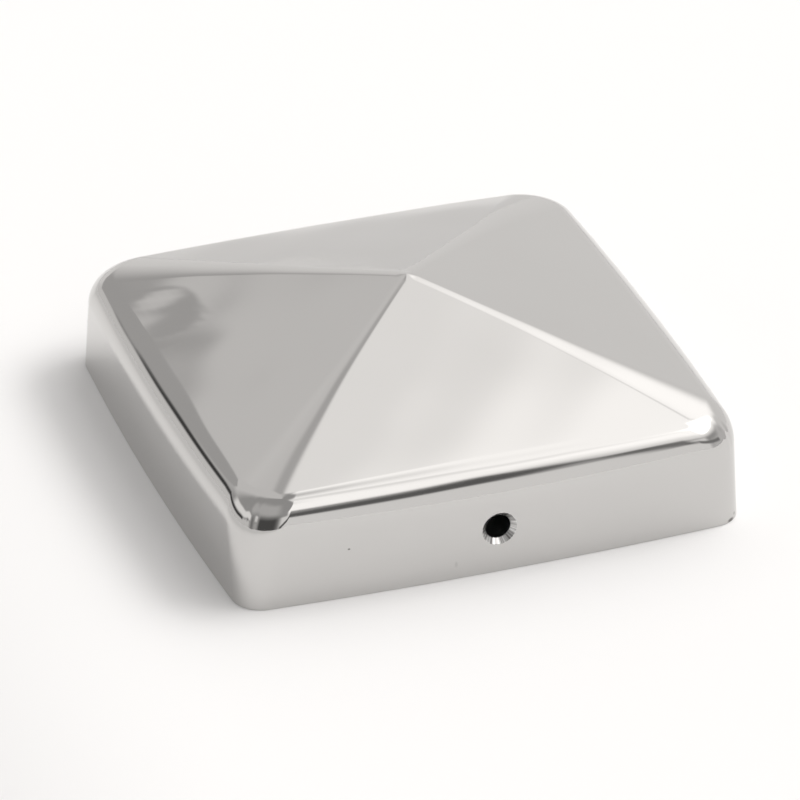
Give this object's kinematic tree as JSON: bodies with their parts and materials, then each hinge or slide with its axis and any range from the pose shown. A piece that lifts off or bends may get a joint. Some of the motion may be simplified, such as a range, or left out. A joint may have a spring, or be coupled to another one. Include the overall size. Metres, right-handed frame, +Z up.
{
  "type": "post cap",
  "caption": "Pressed sheet-metal post cap: a low pyramid roof with a rounded eave and a straight skirt that slides over the top of a square post and is screwed to its sides.",
  "frame": {"origin": "centre of the open rim's plane, below the tip", "axes": "+Z up through the tip; -Y out of the front skirt, through a screw hole; +X to the right of it"},
  "size_m": [0.0958, 0.0958, 0.0335],
  "materials": {
    "stainless": "polished"
  },
  "bodies": {
    "root": {"post_cap": "stainless"}
  },
  "joints": []
}
